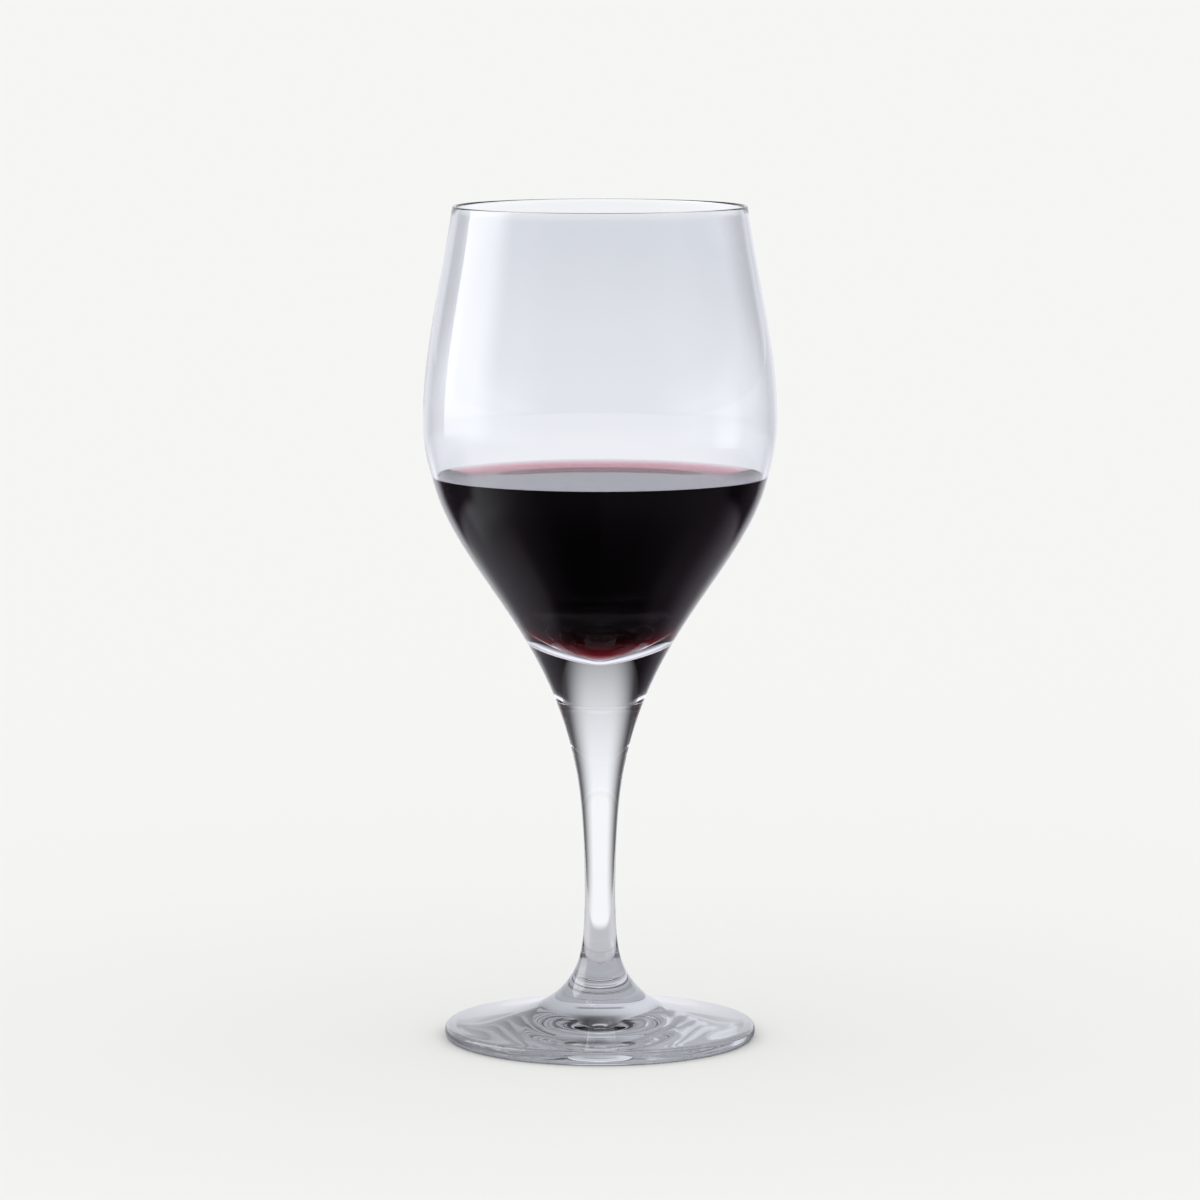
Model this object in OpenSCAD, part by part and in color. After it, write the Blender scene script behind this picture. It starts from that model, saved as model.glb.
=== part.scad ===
// A glass of red wine: a clear stemmed glass with a tall round bowl, filled to well below its widest level.
// Millimetres, +Z up. The origin is on the axis of the glass, on the surface that it stands on.

/* [Glass] */
// Overall height
glass_h = 202; // [166:1:250]
// Height of the bowl, from the groove where it meets the stem up to the lip
bowl_h = 119.8; // [96:0.2:146]
// Height of the bowl's widest level above that groove
belly_h = 67.4; // [56:0.2:82]
// Greatest outside width of the bowl
bowl_d = 85.4; // [70:0.2:104]
// Outside width of the mouth, at the lip
rim_d = 71; // [58:0.2:85]

/* [Wall] */
// Wall at the bowl's widest level
wall_t = 1.1; // [0.8:0.05:1.8]
// Wall at the lip, which is rounded over
rim_t = 1; // [0.8:0.05:1.6]
// Wall where it begins to thicken towards the bottom
lap_t = 1.5; // [1:0.05:2.2]
// Solid glass between the groove's level and the inside of the bowl
floor_t = 12.4; // [9:0.2:16]
// Reach of the bowl's round bottom, out from its middle
floor_reach = 5.4; // [4:0.2:9]

/* [Stem] */
// Width of the stem at its waist
stem_d = 7.46; // [5.5:0.02:9.5]
// Width where the stem meets the bowl, at the groove
joint_d = 21.2; // [16:0.2:26]
// Depth of the fine groove round that joint
groove_depth = 0.03; // [0.02:0.01:0.2]
// Half the height of the groove
groove_half = 0.25; // [0.2:0.05:0.8]

/* [Foot] */
// Width of the foot
foot_d = 75.4; // [62:0.2:92]
// Thickness of the foot at its edge
edge_t = 3.3; // [2.4:0.1:4.4]
// Rounding of the foot's edge, above and below
edge_round = 1.4; // [0.6:0.1:2.2]
// Height at which the foot's flare has become the stem
flare_h = 25; // [19:0.5:32]
// How much wider than the waist the stem still is there, on each side
flare_out = 0.37; // [0.1:0.01:0.8]
// Height of the foot's top where it turns up into the flare
rise_h = 7.9; // [6:0.1:10.5]
// Distance from the axis to that turn
rise_r = 15; // [12:0.2:19]
// Steepness of the foot's top at that turn
rise_slope = 0.54; // [0.3:0.02:0.8]
// Pitch of the foot's top at its edge, in degrees
edge_pitch = 6; // [2:0.5:9]
// Width of the flat ring that the foot rests on
rest_w = 1.6; // [1:0.1:3]
// Height of the hollow under the middle of the foot
hollow_h = 2.2; // [1:0.1:3.4]

/* [Wine] */
// Depth of the wine in the middle
wine_depth = 40.9; // [20:0.1:60]
// How far the wine climbs the wall at its edge
climb = 1.8; // [1.2:0.1:3]
// How far from the wall that climb has fallen to about a third
climb_fade = 2.8; // [1.8:0.1:3.6]

/* [Hidden] */
$fn = 96;

joint_z = glass_h - bowl_h;
belly_z = joint_z + belly_h;
floor_z = joint_z + floor_t;
wine_z = floor_z + wine_depth;
contact_z = wine_z + climb;

waist_r = stem_d / 2;
joint_r = joint_d / 2;
bowl_r = bowl_d / 2;
foot_r = foot_d / 2;
lip_round = rim_t / 2;
edge_fillet = min(edge_round, 0.45 * edge_t);
rest_r = foot_r - edge_fillet;

// Straight pieces in each curve of an outline, in a short one, in each rounding and in the wine's raised edge
steps = 10;
short_steps = 4;
arc_steps = 4;
climb_steps = 8;

// How far a curve holds on to the direction that it starts or ends in, as a share of the way it covers
edge_pull = 0.52;
turn_pull = 0.07;
flare_pull = 0.52;
stem_pull = 0.57;
lap_pull = 0.43;
// Where the stem is narrowest, as a share of its height above the flare
waist_share = 0.21;
// Where the inside starts to leave the wall, as a share of the way from the cone to the shoulder
lap_share = 0.35;
// Width of the wine's raised edge, in lengths of climb_fade
climb_reach = 4.5;

function without_first(points) = [for (i = [1 : len(points) - 1]) points[i]];

// A curve that leaves a towards b and reaches d from c: a place at a share of the way, and points without d
function bezier(a, b, c, d, share) =
    pow(1 - share, 3) * a + 3 * pow(1 - share, 2) * share * b
    + 3 * (1 - share) * pow(share, 2) * c + pow(share, 3) * d;
function curve(a, b, c, d, count = steps) = [for (i = [0 : count - 1]) bezier(a, b, c, d, i / count)];

function arc(centre, radius, first, last) = [
    for (i = [0 : arc_steps])
        let (angle = first + (last - first) * i / arc_steps)
        centre + radius * [cos(angle), sin(angle)]
];

// A station of the outline is [distance from the axis, height, growth of that distance with height].
function place(station) = [station[0], station[1]];
function along(station, rise) = [station[0] + rise * station[2], station[1] + rise];
function mean_growth(low, high) = (high[0] - low[0]) / (high[1] - low[1]);

// Points from one station up or down to another, without the last
function span(from, to, count = steps) =
    let (rise = (to[1] - from[1]) / 3)
    curve(place(from), along(from, rise), along(to, -rise), place(to), count);

// The station that such a curve passes at a share of the way
function on_span(from, to, share) =
    let (rise = (to[1] - from[1]) / 3)
    let (at = bezier(place(from), along(from, rise), along(to, -rise), place(to), share))
    let (ends = (1 - share) * (1 - 3 * share) * from[2] + share * (3 * share - 2) * to[2])
    [at[0], at[1], 6 * share * (1 - share) * mean_growth(from, to) + ends];

// A station between two places, at a share of the way out and up, growing at a share of the mean rate
function between(low, high, share_out, share_up, share_growth) = [
    low[0] + share_out * (high[0] - low[0]),
    low[1] + share_up * (high[1] - low[1]),
    share_growth * mean_growth(low, high)
];

// The inside of the wall opposite a station of the outside
function inset(station, wall) =
    let (stretch = sqrt(1 + station[2] * station[2]))
    [station[0] - wall / stretch, station[1] + wall * station[2] / stretch, station[2]];

// Stem: narrowest a little above the flare, then opening steadily up to the groove under the bowl
stem_foot = [waist_r + flare_out, flare_h, -0.07];
waist = [waist_r, flare_h + waist_share * (joint_z - flare_h), 0.019];
joint = [joint_r, joint_z];
stem_growth = 2.54 * mean_growth(waist, joint);
stem_top = between(waist, joint, 0.141, 0.465, 0.67);
groove_low = [joint_r - groove_half * stem_growth, joint_z - groove_half, stem_growth];

// Bowl: opens like a cone, rounds over at the shoulder to its widest level, then closes slowly to the lip
widest = [bowl_r, belly_z];
bowl_growth = 0.82 * mean_growth(joint, widest);
groove_floor = [joint_r - groove_depth, joint_z, (stem_growth + bowl_growth) / 2];
groove_high = [joint_r + groove_half * bowl_growth, joint_z + groove_half, bowl_growth];
cone = between(joint, widest, 0.27, 0.254, 1.286);
shoulder = between(joint, widest, 0.904, 0.766, 0.63);
belly = [bowl_r, belly_z, 0];

lip_centre = [rim_d / 2 - lip_round, glass_h - lip_round];
rim_growth = 1.08 * mean_growth(widest, [rim_d / 2, glass_h]);
lip_lean = -atan(rim_growth);
rim = [lip_centre[0] + lip_round * cos(lip_lean), lip_centre[1] + lip_round * sin(lip_lean), rim_growth];

// Foot: hollow underneath, resting on a flat ring near its edge, thin at the edge and rising to the flare
underside = curve([0, hollow_h], [0.5 * rest_r, hollow_h], [0.75 * rest_r, 0], [rest_r - rest_w, 0]);
rest_ring = [[rest_r - rest_w, 0]];
edge_low = arc([foot_r - edge_fillet, edge_fillet], edge_fillet, -90, 0);
edge_high = arc([foot_r - edge_fillet, edge_t - edge_fillet], edge_fillet, 0, 90 - edge_pitch);
foot_top_out = edge_high[arc_steps];
turn = [rise_r, rise_h];
top_run = foot_top_out[0] - rise_r;
flare_run = rise_r - stem_foot[0];
flare_rise = flare_h - rise_h;
foot_top = curve(
    foot_top_out,
    foot_top_out + edge_pull * top_run * [-1, tan(edge_pitch)],
    turn + turn_pull * top_run * [1, -rise_slope],
    turn
);
flare = curve(
    turn,
    turn + flare_pull * flare_run * [-1, rise_slope],
    along(stem_foot, -stem_pull * flare_rise),
    place(stem_foot)
);

outside = concat(
    underside,
    rest_ring,
    edge_low,
    edge_high,
    without_first(foot_top),
    flare,
    span(stem_foot, waist, short_steps),
    span(waist, stem_top),
    span(stem_top, groove_low),
    span(groove_low, groove_floor, short_steps),
    span(groove_floor, groove_high, short_steps),
    span(groove_high, cone),
    span(cone, shoulder),
    span(shoulder, belly),
    span(belly, rim)
);
lip = concat(
    arc(lip_centre, lip_round, lip_lean, 90),
    without_first(arc(lip_centre, lip_round, 90, 180 + lip_lean))
);

// Inside of the bowl, from under the lip down to its round bottom
lap = inset(on_span(cone, shoulder, lap_share), lap_t);
inside = concat(
    span(inset(rim, rim_t), inset(belly, wall_t)),
    span(inset(belly, wall_t), inset(shoulder, wall_t)),
    span(inset(shoulder, wall_t), lap),
    curve(place(lap), along(lap, -lap_pull * (lap[1] - floor_z)), [floor_reach, floor_z], [0, floor_z]),
    [[0, floor_z]]
);

// The bowl, stem and foot are one piece of glass
module glass() {
    color("aliceblue", 0.4)
        rotate_extrude()
            polygon(concat(outside, lip, without_first(inside)));
}

// The wine fills the same inside, face to face with the glass, and its surface curls up at the wall
module wine() {
    contact_r = lookup(contact_z, [for (point = inside) [point[1], point[0]]]);
    raised_edge = [
        for (i = [0 : climb_steps])
            let (away = climb_reach * climb_fade * pow(i / climb_steps, 2))
            [contact_r - away, wine_z + climb * exp(-away / climb_fade)]
    ];
    against_glass = [for (point = inside) if (point[1] < contact_z) point];
    color([0.16, 0.02, 0.05])
        rotate_extrude()
            polygon(concat([[0, wine_z]], [for (i = [climb_steps : -1 : 0]) raised_edge[i]], against_glass));
}

glass();
wine();
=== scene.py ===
"""A glass of red wine on a pale studio floor. Metres, +Z up, the glass's axis on the Z axis.

The clear glass and the wine in it are turned shapes: each is an outline swept round the axis. The outlines
follow the same named sizes as the CAD model, and the overall ones are read from it. The studio looks plain, but
to the rays that the glass bends or mirrors its floor and surround show a pattern of light, which gives the glass
the highlights and the dark edges of the photo.
"""
import bpy
import math
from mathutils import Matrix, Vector


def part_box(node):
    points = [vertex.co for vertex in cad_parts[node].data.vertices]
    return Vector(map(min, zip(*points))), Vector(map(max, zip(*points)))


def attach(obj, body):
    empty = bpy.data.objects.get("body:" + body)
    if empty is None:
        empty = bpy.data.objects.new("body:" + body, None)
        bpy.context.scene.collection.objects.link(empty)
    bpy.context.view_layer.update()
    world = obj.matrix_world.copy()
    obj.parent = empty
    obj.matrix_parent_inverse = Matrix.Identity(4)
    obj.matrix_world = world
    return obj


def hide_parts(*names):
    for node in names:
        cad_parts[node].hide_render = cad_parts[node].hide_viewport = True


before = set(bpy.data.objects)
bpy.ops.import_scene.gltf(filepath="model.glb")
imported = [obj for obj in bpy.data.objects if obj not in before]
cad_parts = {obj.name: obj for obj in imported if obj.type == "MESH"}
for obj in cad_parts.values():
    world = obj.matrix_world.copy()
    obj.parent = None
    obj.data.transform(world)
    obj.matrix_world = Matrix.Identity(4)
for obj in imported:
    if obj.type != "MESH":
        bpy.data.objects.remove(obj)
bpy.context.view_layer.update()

MM = 0.001

# ---------------------------------------------------------------- sizes, in millimetres

_, glass_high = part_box("glass")
wine_low, wine_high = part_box("wine")

GLASS_H = glass_high.z / MM
BOWL_R = glass_high.x / MM
BOWL_H = 119.8  # from the groove at the stem up to the lip
BELLY_H = 67.4  # from that groove up to the widest level
RIM_R = 35.5

WALL = 1.1
RIM_WALL = 1.0
LAP_WALL = 1.5  # where the wall begins to thicken towards the bottom
FLOOR_Z = wine_low.z / MM
FLOOR_REACH = 5.4  # of the bowl's round bottom, out from its middle

WAIST_R = 3.73
JOINT_R = 10.6
GROOVE_DEPTH = 0.012
GROOVE_HALF = 0.25  # half its height

FOOT_R = 37.7
EDGE_T = 3.3
EDGE_ROUND = 1.4
EDGE_PITCH = 6.0  # degrees
FLARE_H = 25.0  # where the foot's flare has become the stem
FLARE_OUT = 0.37  # how much wider than the waist the stem still is there
RISE_H = 7.9  # where the foot's top turns up into the flare
RISE_R = 15.0
RISE_SLOPE = 0.54
REST_W = 1.6  # of the flat ring that the foot rests on
HOLLOW_H = 2.2  # of the hollow under the foot

CLIMB = 1.8  # of the wine up the wall
CLIMB_FADE = 2.8  # distance from the wall at which that has fallen to about a third
CLIMB_REACH = 4.5  # width of the raised edge, in lengths of CLIMB_FADE
WINE_Z = wine_high.z / MM - CLIMB
WINE_INTO_WALL = 0.01

# How far a curve holds on to the direction that it starts or ends in, as a share of the way it covers
EDGE_PULL = 0.52
TURN_PULL = 0.07
FLARE_PULL = 0.52
STEM_PULL = 0.57
LAP_PULL = 0.43
# Where the stem is narrowest, and where the inside starts to leave the wall, as shares of the way up
WAIST_SHARE = 0.21
LAP_SHARE = 0.35
# Growth of the radius with height, as it is in the stem and as a share of the mean higher up
STEM_FOOT_GROWTH = -0.07
WAIST_GROWTH = 0.019
JOINT_GROWTH = 2.54
BOWL_GROWTH = 0.82
RIM_GROWTH = 1.08
# Shares of the way out, of the way up and of the mean growth
STEM_TOP = (0.141, 0.465, 0.67)
CONE = (0.27, 0.254, 1.286)
SHOULDER = (0.904, 0.766, 0.63)

# Straight pieces in a turn round the axis, in a curve of an outline and in its shorter parts
TURNS = 192
STEPS = 28
WAIST_STEPS = 10
GROOVE_STEPS = 8
EDGE_STEPS = 8
LIP_STEPS = 16
CLIMB_STEPS = 40
# A point nearer to the axis than this is on it
ON_AXIS = 1e-6


# ---------------------------------------------------------------- outlines

def bezier(a, b, c, d, share):
    rest = 1 - share
    return rest**3 * a + 3 * rest**2 * share * b + 3 * rest * share**2 * c + share**3 * d


def curve(a, b, c, d, count=STEPS):
    """Points from a to just before d, leaving towards b and arriving from c."""
    return [bezier(Vector(a), Vector(b), Vector(c), Vector(d), i / count) for i in range(count)]


def arc(centre, radius, first, last, count=EDGE_STEPS):
    angles = [math.radians(first + (last - first) * i / count) for i in range(count + 1)]
    return [Vector((centre[0] + radius * math.cos(a), centre[1] + radius * math.sin(a))) for a in angles]


# A station is (distance from the axis, height, growth of that distance with height).
def along(station, rise):
    return Vector((station[0] + rise * station[2], station[1] + rise))


def mean_growth(low, high):
    return (high[0] - low[0]) / (high[1] - low[1])


def span(start, end, count=STEPS):
    """Points from one station to just before another."""
    rise = (end[1] - start[1]) / 3
    return curve(start[:2], along(start, rise), along(end, -rise), end[:2], count)


def on_span(start, end, share):
    """The station that such a curve passes at a share of the way."""
    rise = (end[1] - start[1]) / 3
    at = bezier(Vector(start[:2]), along(start, rise), along(end, -rise), Vector(end[:2]), share)
    ends = (1 - share) * (1 - 3 * share) * start[2] + share * (3 * share - 2) * end[2]
    return (at.x, at.y, 6 * share * (1 - share) * mean_growth(start, end) + ends)


def between(low, high, shares):
    """A station between two places, by its shares of the way out, of the way up and of the mean growth."""
    out, up, growth = shares
    return (
        low[0] + out * (high[0] - low[0]),
        low[1] + up * (high[1] - low[1]),
        growth * mean_growth(low, high),
    )


def inset(station, wall):
    """The inside of the wall opposite a station of the outside."""
    stretch = math.hypot(1, station[2])
    return (station[0] - wall / stretch, station[1] + wall * station[2] / stretch, station[2])


def foot_outline(stem_foot):
    """From the axis under the foot, round its edge and up the flare, to just before the foot of the stem."""
    rest_r = FOOT_R - EDGE_ROUND
    ring_r = rest_r - REST_W
    underside = curve((0, HOLLOW_H), (0.5 * rest_r, HOLLOW_H), (0.75 * rest_r, 0), (ring_r, 0))
    edge_low = arc((rest_r, EDGE_ROUND), EDGE_ROUND, -90, 0)
    edge_high = arc((rest_r, EDGE_T - EDGE_ROUND), EDGE_ROUND, 0, 90 - EDGE_PITCH)
    top_out = edge_high[-1]
    turn = Vector((RISE_R, RISE_H))
    top_run = top_out.x - RISE_R
    flare_run = RISE_R - stem_foot[0]
    edge_dir = Vector((-1, math.tan(math.radians(EDGE_PITCH))))
    rise_dir = Vector((-1, RISE_SLOPE))
    foot_top = curve(
        top_out, top_out + EDGE_PULL * top_run * edge_dir, turn - TURN_PULL * top_run * rise_dir, turn
    )
    flare_end = along(stem_foot, -STEM_PULL * (FLARE_H - RISE_H))
    flare = curve(turn, turn + FLARE_PULL * flare_run * rise_dir, flare_end, stem_foot[:2])
    return underside + [Vector((ring_r, 0))] + edge_low + edge_high + foot_top[1:] + flare


def glass_outlines():
    """The outside from the axis under the foot up to the lip, the lip, and the inside down to the axis."""
    joint = (JOINT_R, GLASS_H - BOWL_H)
    widest = (BOWL_R, joint[1] + BELLY_H)
    stem_foot = (WAIST_R + FLARE_OUT, FLARE_H, STEM_FOOT_GROWTH)
    waist = (WAIST_R, FLARE_H + WAIST_SHARE * (joint[1] - FLARE_H), WAIST_GROWTH)
    stem_growth = JOINT_GROWTH * mean_growth(waist, joint)
    bowl_growth = BOWL_GROWTH * mean_growth(joint, widest)
    stem_top = between(waist, joint, STEM_TOP)
    groove_low = (JOINT_R - GROOVE_HALF * stem_growth, joint[1] - GROOVE_HALF, stem_growth)
    groove_floor = (JOINT_R - GROOVE_DEPTH, joint[1], (stem_growth + bowl_growth) / 2)
    groove_high = (JOINT_R + GROOVE_HALF * bowl_growth, joint[1] + GROOVE_HALF, bowl_growth)
    cone = between(joint, widest, CONE)
    shoulder = between(joint, widest, SHOULDER)
    belly = (*widest, 0.0)

    lip_round = RIM_WALL / 2
    lip_centre = (RIM_R - lip_round, GLASS_H - lip_round)
    rim_growth = RIM_GROWTH * mean_growth(widest, (RIM_R, GLASS_H))
    lean = -math.degrees(math.atan(rim_growth))
    lip = arc(lip_centre, lip_round, lean, lean + 180, LIP_STEPS)
    rim = (lip[0].x, lip[0].y, rim_growth)

    outside = (
        foot_outline(stem_foot)
        + span(stem_foot, waist, WAIST_STEPS)
        + span(waist, stem_top)
        + span(stem_top, groove_low)
        + span(groove_low, groove_floor, GROOVE_STEPS)
        + span(groove_floor, groove_high, GROOVE_STEPS)
        + span(groove_high, cone)
        + span(cone, shoulder)
        + span(shoulder, belly)
        + span(belly, rim)
    )
    lap = inset(on_span(cone, shoulder, LAP_SHARE), LAP_WALL)
    lap_end = along(lap, -LAP_PULL * (lap[1] - FLOOR_Z))
    inside = (
        span(inset(rim, RIM_WALL), inset(belly, WALL))
        + span(inset(belly, WALL), inset(shoulder, WALL))
        + span(inset(shoulder, WALL), lap)
        + curve(lap[:2], lap_end, (FLOOR_REACH, FLOOR_Z), (0, FLOOR_Z))
        + [Vector((0, FLOOR_Z))]
    )
    return outside, lip, inside


def split_inside(inside):
    """The glass's inside above the wine, down to the line where the wine meets it, and below that line."""
    contact_z = WINE_Z + CLIMB
    above = [p for p in inside if p.y >= contact_z]
    below = [p for p in inside if p.y < contact_z]
    share = (contact_z - above[-1].y) / (below[0].y - above[-1].y)
    contact = above[-1].lerp(below[0], share)
    return above + [contact], [contact] + below


def wine_outlines(wall):
    """The wine's side, from the axis under it up just inside the wall, and its surface back to the axis."""
    contact = wall[0]
    pushed = []
    for i, point in enumerate(wall):
        before, after = wall[max(i - 1, 0)], wall[min(i + 1, len(wall) - 1)]
        run = (after - before).normalized()
        pushed.append(point + WINE_INTO_WALL * Vector((-run.y, run.x)))
    pushed[-1] = Vector((0, FLOOR_Z - WINE_INTO_WALL))
    surface = [contact]
    for i in range(1, CLIMB_STEPS + 1):
        away = CLIMB_REACH * CLIMB_FADE * (i / CLIMB_STEPS) ** 2
        surface.append(Vector((contact.x - away, WINE_Z + CLIMB * math.exp(-away / CLIMB_FADE))))
    surface.append(Vector((0, WINE_Z)))
    return pushed[::-1], surface


def turned(name, outlines, materials):
    """A closed mesh: the outlines, joined end to end, swept round the Z axis. Each outline has its own material,
    or, where there is one material for all, its number in the face attribute in_air. Points on the axis become
    one vertex each."""
    verts, faces, rings, bands, kinds = [], [], [], [], []
    for kind, outline in enumerate(outlines):
        for point in outline:
            bands.append(kind)
            if point.x < ON_AXIS:
                rings.append([len(verts)] * TURNS)
                verts.append((0, 0, point.y * MM))
                continue
            rings.append([len(verts) + i for i in range(TURNS)])
            for i in range(TURNS):
                a = 2 * math.pi * i / TURNS
                verts.append((point.x * MM * math.cos(a), point.x * MM * math.sin(a), point.y * MM))
    for low, high, kind in zip(rings, rings[1:], bands[1:]):
        for i in range(TURNS):
            j = (i + 1) % TURNS
            corners = [low[i], low[j], high[j], high[i]]
            faces.append([c for k, c in enumerate(corners) if c not in corners[:k]])
            kinds.append(kind)
    mesh = bpy.data.meshes.new(name)
    mesh.from_pydata(verts, [], faces)
    mesh.update()
    mesh.shade_smooth()
    for material in materials:
        mesh.materials.append(material)
    if len(materials) > 1:
        mesh.polygons.foreach_set("material_index", kinds)
    else:
        mesh.attributes.new("in_air", "FLOAT", "FACE").data.foreach_set("value", kinds)
    obj = bpy.data.objects.new(name, mesh)
    bpy.context.scene.collection.objects.link(obj)
    return obj


# ---------------------------------------------------------------- node helpers

BLACK = (0.0, 0.0, 0.0, 1.0)
WHITE = (1.0, 1.0, 1.0, 1.0)


class Nodes:
    """Short calls for building a node tree."""

    def __init__(self, tree):
        self.tree = tree
        tree.nodes.clear()

    def add(self, kind, inputs=None, **settings):
        node = self.tree.nodes.new(kind)
        for key, value in settings.items():
            setattr(node, key, value)
        for key, value in (inputs or {}).items():
            self.put(node.inputs[key], value)
        return node

    def put(self, socket, value):
        if isinstance(value, bpy.types.NodeSocket):
            self.tree.links.new(value, socket)
        else:
            socket.default_value = value

    def math(self, operation, a, b=0.0):
        return self.add("ShaderNodeMath", {0: a, 1: b}, operation=operation).outputs[0]

    def ramp(self, value, low, high, to_low=0.0, to_high=1.0):
        """Smoothly from to_low where value is low to to_high where it is high."""
        node = self.add(
            "ShaderNodeMapRange",
            {"Value": value, "From Min": low, "From Max": high, "To Min": to_low, "To Max": to_high},
            interpolation_type="SMOOTHSTEP",
        )
        return node.outputs[0]

    def total(self, first, *others):
        for other in others:
            first = self.math("ADD", first, other)
        return first

    def product(self, first, *others):
        for other in others:
            first = self.math("MULTIPLY", first, other)
        return first

    def less(self, share, amount, start=1.0):
        """A factor that falls from start by an amount where share is 1."""
        return self.math("SUBTRACT", start, self.math("MULTIPLY", share, amount))

    def at_least(self, value, count):
        """1 where a whole number has reached count, and else 0."""
        return self.math("GREATER_THAN", value, count - 0.5)

    def mix(self, share, a, b):
        node = self.add("ShaderNodeMix", data_type="RGBA")
        for key, value in ((0, share), (6, a), (7, b)):
            self.put(node.inputs[key], value)
        return node.outputs[2]

    def mix_shader(self, share, a, b):
        return self.add("ShaderNodeMixShader", {0: share, 1: a, 2: b}).outputs[0]

    def emission(self, color, strength=1.0):
        return self.add("ShaderNodeEmission", {"Color": color, "Strength": strength}).outputs[0]


def node_material(name):
    """A new material and the helper for its empty node tree."""
    mat = bpy.data.materials.new(name)
    mat.use_nodes = True
    return mat, Nodes(mat.node_tree)


class Rays:
    """What a ray has met on its way from the camera."""

    def __init__(self, n):
        path = n.add("ShaderNodeLightPath").outputs
        self.camera = path["Is Camera Ray"]
        self.diffuse = path["Is Diffuse Ray"]
        self.shadow = path["Is Shadow Ray"]
        self.mirrored_last = path["Is Reflection Ray"]
        self.bent_last = path["Is Transmission Ray"]
        self.mirrored = n.at_least(path["Glossy Depth"], 1)
        self.mirrored_twice = n.at_least(path["Glossy Depth"], 2)
        self.entered = n.at_least(path["Transmission Depth"], 1)
        # The near and the far wall of the hollow bowl have two faces each; the solid stem has two in all
        self.through_bowl = n.at_least(path["Transmission Depth"], 4)


def heading(n, direction):
    """Degrees of turn from straight behind the glass, positive to the right, and the same without the sign."""
    turn = n.math("DEGREES", n.math("ARCTAN2", direction["X"], direction["Y"]))
    return turn, n.math("ABSOLUTE", turn)


# ---------------------------------------------------------------- materials

GLASS_IOR = 1.52
WINE_IOR = 1.34
WINE_COLOR = (0.63, 0.05, 0.20, 1.0)
WINE_DENSITY = 560.0
# Faint waves of a surface: how many to a metre, and how strong
GLASS_WAVES = (38.0, 0.02)
WINE_WAVES = (30.0, 0.015)
WAVE_HEIGHT = 0.002


def bending_surface(n, ior, waves):
    """A smooth clear surface that bends and mirrors light, with faint waves."""
    scale, strength = waves
    place = n.add("ShaderNodeTexCoord").outputs["Object"]
    noise = n.add("ShaderNodeTexNoise", {"Vector": place, "Scale": scale, "Detail": 1.0, "Roughness": 0.4})
    bump = n.add("ShaderNodeBump", {"Strength": strength, "Distance": WAVE_HEIGHT, "Height": noise.outputs["Fac"]})
    shader = n.add(
        "ShaderNodeBsdfPrincipled",
        {
            "Base Color": WHITE,
            "Roughness": 0.0,
            "IOR": ior,
            "Transmission Weight": 1.0,
            "Normal": bump.outputs["Normal"],
        },
    )
    return shader.outputs[0]


def clear_glass(name, ior):
    """Clear glass with the faint unevenness of a turned and fire-polished surface."""
    mat, n = node_material(name)
    n.add("ShaderNodeOutputMaterial", {"Surface": bending_surface(n, ior, GLASS_WAVES)})
    return mat


def red_wine():
    """Red wine with the faintest ripple. It bends light at its surface; at its side, inside the wall, the
    glass's wet face does."""
    mat, n = node_material("red_wine")
    in_air = n.add("ShaderNodeAttribute", attribute_name="in_air").outputs["Fac"]
    ior = n.math("ADD", n.math("MULTIPLY", in_air, WINE_IOR - 1), 1.0)
    body = n.add("ShaderNodeVolumeAbsorption", {"Color": WINE_COLOR, "Density": WINE_DENSITY})
    surface = bending_surface(n, ior, WINE_WAVES)
    n.add("ShaderNodeOutputMaterial", {"Surface": surface, "Volume": body.outputs[0]})
    return mat


# ---------------------------------------------------------------- studio
# Distances are in metres from the glass's foot, or up; directions and heights of rays are in degrees.

PALE = (0.925, 0.933, 0.914, 1.0)
FLOOR_ALBEDO = (0.800, 0.807, 0.791, 1.0)
DAYLIGHT = (1.163, 1.163, 1.163, 1.0)
FLOOR_SIZE = 120.0

# Colours of the floor's painted light and shade, seen through solid glass: bright far from the foot, painted shade
# near it and a painted shadow under it
FAR_FLOOR = (0.995, 1.005, 1.03, 1.0)
NEAR_FOOT_SHADE_MIDDLE = (0.545, 0.55, 0.585, 1.0)
NEAR_FOOT_SHADE_SIDES = (0.68, 0.685, 0.72, 1.0)
UNDER_FOOT_SHADOW = (0.50, 0.50, 0.535, 1.0)
# Painted light on the floor, seen through the hollow bowl, darker at the sides
BOWL_FLOOR_NEAR = (0.885, 0.91, 0.96, 1.0)
BOWL_FLOOR_FAR = (0.775, 0.805, 0.87, 1.0)
BOWL_FLOOR_SIDES = (0.62, 0.635, 0.68, 1.0)
# The floor's painted reflection in the outside faces
DIM_GLOW = (1.02, 0.80, 1.04, 1.0)
BRIGHT_GLOW = (0.98, 0.97, 1.03, 1.0)
# Mirrored inside the glass, on the floor and all round
INSIDE_TINT = (0.965, 0.99, 1.085, 1.0)
# Colours of the surround's pattern: seen through solid glass, mirrored, and through the hollow bowl
SURROUND_TINT = (0.965, 0.985, 1.035, 1.0)
MIRRORED_SIDES = (0.10, 0.10, 0.115, 1.0)
MIRRORED_BEHIND = (0.90, 0.92, 0.96, 1.0)
BOWL_LOW = (0.73, 0.745, 0.84, 1.0)
BOWL_HIGH = (1.32, 1.27, 1.35, 1.0)


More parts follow.
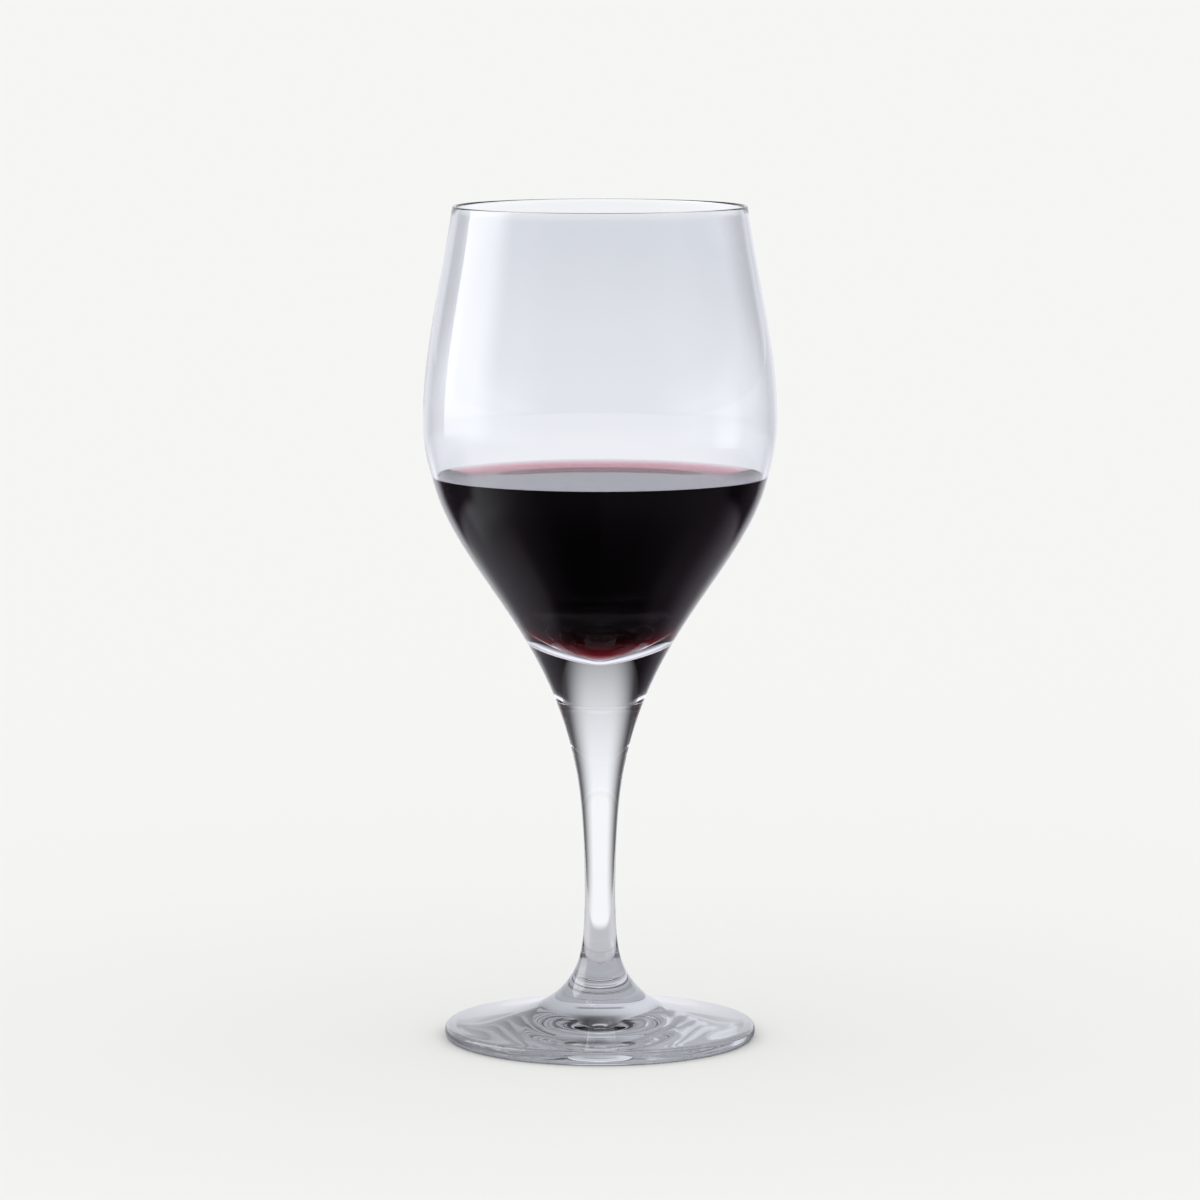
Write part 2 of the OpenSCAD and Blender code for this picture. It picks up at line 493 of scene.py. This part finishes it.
def floor_seen(n, rays, away, aside):
    """The floor's painted light and shade through the glass. Solid glass shows it bright far behind, dark to the
    sides, and grey near the foot as a painted shadow of the glass; the bowl shows it pale, darker at the sides."""
    dark = n.ramp(away, 0.12, 0.32, 0.50, 0.11)
    bright = n.total(n.ramp(aside, 10.0, 54.0, 1.05, dark), n.ramp(aside, 56.0, 70.0, 0.0, 0.35))
    bright = n.product(bright, n.ramp(away, 0.7, 2.6, 1.0, 0.91))
    far = n.mix(n.total(bright, n.ramp(away, 3.4, 5.6, 0.0, 0.05)), BLACK, FAR_FLOOR)
    # Painted shade near the foot, and a painted shadow under it
    near = n.mix(n.ramp(aside, 14.0, 38.0), NEAR_FOOT_SHADE_MIDDLE, NEAR_FOOT_SHADE_SIDES)
    near = n.mix(n.ramp(away, 0.05, 0.035), near, UNDER_FOOT_SHADOW)
    # The grey painted shadow reaches further out at the sides
    spread = n.product(n.math("POWER", n.math("DIVIDE", aside, 30.0), 4.0), 0.02)
    solid = n.mix(n.ramp(n.math("SUBTRACT", away, spread), 0.100, 0.118), near, far)

    hollow = n.mix(n.ramp(away, 1.6, 3.6), BOWL_FLOOR_NEAR, BOWL_FLOOR_FAR)
    hollow = n.mix(n.product(n.ramp(aside, 3.4, 6.5), n.ramp(away, 1.8, 3.4)), hollow, BOWL_FLOOR_SIDES)
    past_foot = n.math("GREATER_THAN", away, 0.06)
    return n.mix(n.product(rays.through_bowl, past_foot), solid, hollow)


def floor_mirrored_outside(n, away, turn, aside):
    """The floor's painted reflection in the glass's outer faces: bright behind, dim in front and to the right,
    with painted shade near the foot.
    """
    glow = n.total(n.ramp(turn, -150.0, -65.0, 0.08, 0.42), n.ramp(turn, -48.0, -20.0, 0.0, 0.65))
    glow = n.math("SUBTRACT", glow, n.ramp(turn, 10.0, 45.0, 0.0, 0.70))
    glow = n.math("SUBTRACT", glow, n.ramp(turn, 45.0, 85.0, 0.0, 0.25))
    patch = n.product(n.ramp(turn, -125.0, -85.0), n.ramp(turn, -58.0, -70.0), n.ramp(away, 0.16, 0.23))
    glow = n.total(glow, n.product(patch, 0.28))
    far_wings = n.product(n.ramp(aside, 28.0, 42.0), n.ramp(aside, 88.0, 75.0), n.ramp(away, 0.26, 0.33))
    in_front = n.ramp(aside, 90.0, 120.0)
    # Painted shade near the foot, deepest in front
    near_foot_shade = n.ramp(in_front, 0.0, 1.0, 0.9, 0.25)
    glow = n.product(glow, n.less(far_wings, 0.85), n.ramp(away, 0.05, 0.26, near_foot_shade, 1.0))
    return n.mix(glow, BLACK, n.mix(n.ramp(glow, 0.05, 0.6), DIM_GLOW, BRIGHT_GLOW))


def floor_mirrored_inside(n, away, aside):
    """The floor's painted reflection after a bounce inside the glass: rings round the foot that widen to the
    sides, painted shade under and just round the foot, dark in front.
    """
    reach = n.math("DIVIDE", away, n.total(n.product(aside, 0.13), 1.0))
    # Painted shade under the foot, darkest just outside it
    under = n.ramp(away, 0.046, 0.052, 0.45, 0.22)
    level = n.product(n.ramp(reach, 0.035, 0.085, under, 1.04), n.ramp(reach, 0.12, 0.32, 1.0, 0.45))
    level = n.math("MAXIMUM", level, n.ramp(away, 0.45, 0.9, 0.0, 0.66))
    level = n.product(level, n.ramp(aside, 110.0, 150.0, 1.0, 0.15))
    return n.mix(level, BLACK, INSIDE_TINT)


def floor_material():
    """Pale and matte where the camera and the light see it, and for the rays that the glass bends or mirrors a
    light table of painted light, shade and reflections."""
    mat, n = node_material("floor")
    rays = Rays(n)
    place = n.add("ShaderNodeNewGeometry").outputs["Position"]
    away = n.add("ShaderNodeVectorMath", {0: place}, operation="LENGTH").outputs["Value"]
    turn, aside = heading(n, n.add("ShaderNodeSeparateXYZ", {0: place}).outputs)
    in_glass = n.mix(
        rays.entered, floor_mirrored_outside(n, away, turn, aside), floor_mirrored_inside(n, away, aside)
    )
    table = n.emission(n.mix(rays.mirrored, floor_seen(n, rays, away, aside), in_glass))
    matte = n.add("ShaderNodeBsdfDiffuse", {"Color": FLOOR_ALBEDO}).outputs[0]
    direct = n.math("MAXIMUM", n.math("MAXIMUM", rays.camera, rays.diffuse), rays.shadow)
    n.add("ShaderNodeOutputMaterial", {"Surface": n.mix_shader(direct, table, matte)})
    return mat


def make_floor():
    bpy.ops.mesh.primitive_plane_add(size=FLOOR_SIZE)
    floor = bpy.context.object
    floor.name = "studio_floor"
    floor.data.materials.append(floor_material())


def make_card(name, low, high, strengths, fades):
    """An upright glowing card that only the glass's reflections show. Its light goes from the first strength at
    0.15 m up to the second at 0.33 m. It fades towards its near, far, low and high edges, over the distances
    given."""
    (x0, y0, z0), (x1, y1, z1) = low, high
    mesh = bpy.data.meshes.new(name)
    mesh.from_pydata([(x0, y0, z0), (x1, y1, z0), (x1, y1, z1), (x0, y0, z1)], [], [(0, 1, 2, 3)])
    card = bpy.data.objects.new(name, mesh)
    bpy.context.scene.collection.objects.link(card)
    mat, n = node_material(name)
    at = n.add("ShaderNodeSeparateXYZ", {0: n.add("ShaderNodeNewGeometry").outputs["Position"]}).outputs
    near, far, bottom, top = fades
    share = n.product(
        n.ramp(at["Y"], y0, y0 + near),
        n.ramp(at["Y"], y1, y1 - far),
        n.ramp(at["Z"], z0, z0 + bottom),
        n.ramp(at["Z"], z1, z1 - top),
        Rays(n).mirrored_last,
    )
    clear = n.add("ShaderNodeBsdfTransparent").outputs[0]
    light = n.emission(WHITE, n.ramp(at["Z"], 0.15, 0.33, *strengths))
    n.add("ShaderNodeOutputMaterial", {"Surface": n.mix_shader(share, clear, light)})
    mesh.materials.append(mat)
    card.visible_camera = False
    card.visible_diffuse = False
    card.visible_shadow = False
    card.visible_transmission = False
    card.visible_volume_scatter = False


def surround_seen(n, height, aside):
    """The surround through solid glass: bright behind, dark to the sides, dimmer higher up, and pale overhead."""
    narrowed = n.product(aside, n.ramp(height, 12.0, 38.0, 1.0, 1.38))
    level = n.total(n.ramp(narrowed, 10.0, 54.0, 1.04, 0.10), n.ramp(aside, 56.0, 70.0, 0.0, 0.30))
    level = n.product(level, n.ramp(height, -8.0, 48.0, 1.0, 0.36))
    return n.mix(n.total(level, n.ramp(height, 62.0, 72.0, 0.0, 0.60)), BLACK, SURROUND_TINT)


def surround_mirrored_outside(n, height, aside):
    """The surround in the glass's outer faces: dark, but pale low down behind."""
    behind = n.product(n.ramp(aside, 42.0, 33.0), n.ramp(height, 44.0, 0.0))
    return n.mix(behind, MIRRORED_SIDES, MIRRORED_BEHIND)


def surround_mirrored_inside(n, rays, height, turn, aside):
    """The surround after a bounce inside the glass: soft light behind and to the left, with a brighter finger
    there and a darker patch in the middle, and pale overhead."""
    left = n.product(n.ramp(turn, -175.0, -110.0), n.ramp(turn, 25.0, -45.0), n.ramp(height, 0.0, 12.0, 0.6, 1.0))
    behind = n.product(n.ramp(aside, 85.0, 20.0), n.ramp(height, 50.0, 5.0))
    finger = n.product(n.ramp(turn, -70.0, -64.0), n.ramp(turn, -50.0, -56.0), n.ramp(height, 20.0, 17.0))
    middle = n.product(n.ramp(aside, 15.0, 10.0), n.ramp(height, 8.0, 10.0), n.ramp(height, 15.0, 13.0))
    level = n.total(n.product(left, 0.27), n.product(behind, 0.38), 0.15, n.product(finger, 0.55))
    level = n.product(
        level,
        n.less(middle, 0.5),
        n.ramp(height, 30.0, 55.0, 1.0, 0.40),
        n.ramp(aside, 110.0, 150.0, 1.0, 0.3),
        n.less(rays.mirrored_twice, 0.32, 1.06),
    )
    return n.mix(n.total(level, n.ramp(height, 62.0, 72.0, 0.0, 0.60)), BLACK, INSIDE_TINT)


def make_world():
    """Plain and pale for the camera and for the light on the floor, and a backdrop for the rays that the glass
    bends or mirrors."""
    world = bpy.data.worlds.new("studio")
    bpy.context.scene.world = world
    world.use_nodes = True
    n = Nodes(world.node_tree)
    rays = Rays(n)
    to = n.add("ShaderNodeSeparateXYZ", {0: n.add("ShaderNodeTexCoord").outputs["Generated"]}).outputs
    height = n.math("DEGREES", n.math("ARCSINE", to["Z"]))
    turn, aside = heading(n, to)
    in_glass = n.mix(
        rays.entered,
        surround_mirrored_outside(n, height, aside),
        surround_mirrored_inside(n, rays, height, turn, aside),
    )
    backdrop = n.mix(rays.mirrored, surround_seen(n, height, aside), in_glass)
    hollow = n.mix(n.ramp(height, 9.0, 24.0), BOWL_LOW, BOWL_HIGH)
    backdrop = n.mix(n.product(rays.through_bowl, rays.bent_last), backdrop, hollow)
    color = n.mix(rays.diffuse, n.mix(rays.camera, backdrop, PALE), DAYLIGHT)
    back = n.add("ShaderNodeBackground", {"Color": color})
    n.add("ShaderNodeOutputWorld", {"Surface": back.outputs[0]})


# ---------------------------------------------------------------- camera

CAMERA_PLACE = (0, -1.3381, 0.26908)
CAMERA_LOOKS_DOWN = 6.912  # degrees
CAMERA_LENS = 167.4
CAMERA_SENSOR = 36.0
CAMERA_SEES = (0.05, 200.0)  # from, to


def make_camera():
    data = bpy.data.cameras.new("camera")
    camera = bpy.data.objects.new("camera", data)
    bpy.context.scene.collection.objects.link(camera)
    data.lens = CAMERA_LENS
    data.sensor_width = CAMERA_SENSOR
    data.clip_start, data.clip_end = CAMERA_SEES
    camera.location = CAMERA_PLACE
    camera.rotation_euler = (math.radians(90 - CAMERA_LOOKS_DOWN), 0, 0)
    bpy.context.scene.camera = camera


# ---------------------------------------------------------------- the scene

outside, lip, inside = glass_outlines()
dry, wet = split_inside(inside)
glass = turned(
    "glass_turned",
    [outside + lip + dry[1:], wet[1:]],
    [clear_glass("clear_glass", GLASS_IOR), clear_glass("wet_glass", GLASS_IOR / WINE_IOR)],
)
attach(glass, "root")
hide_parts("glass")

side, surface = wine_outlines(wet)
wine = turned("wine_turned", [side, surface], [red_wine()])
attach(wine, "root")
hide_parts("wine")

make_camera()
make_floor()
make_card("left_card", (-0.6, -0.27, 0.03), (-0.6, 0.33, 1.1), (2.2, 3.8), (0.26, 0.02, 0.11, 0.3))
make_card("right_card", (0.6, -0.20, 0.0), (0.6, 0.16, 0.25), (1.7, 1.7), (0.16, 0.16, 0.02, 0.19))
make_world()

scene = bpy.context.scene
scene.view_settings.view_transform = "Standard"
scene.cycles.max_bounces = 32
scene.cycles.transmission_bounces = 32
scene.cycles.glossy_bounces = 16
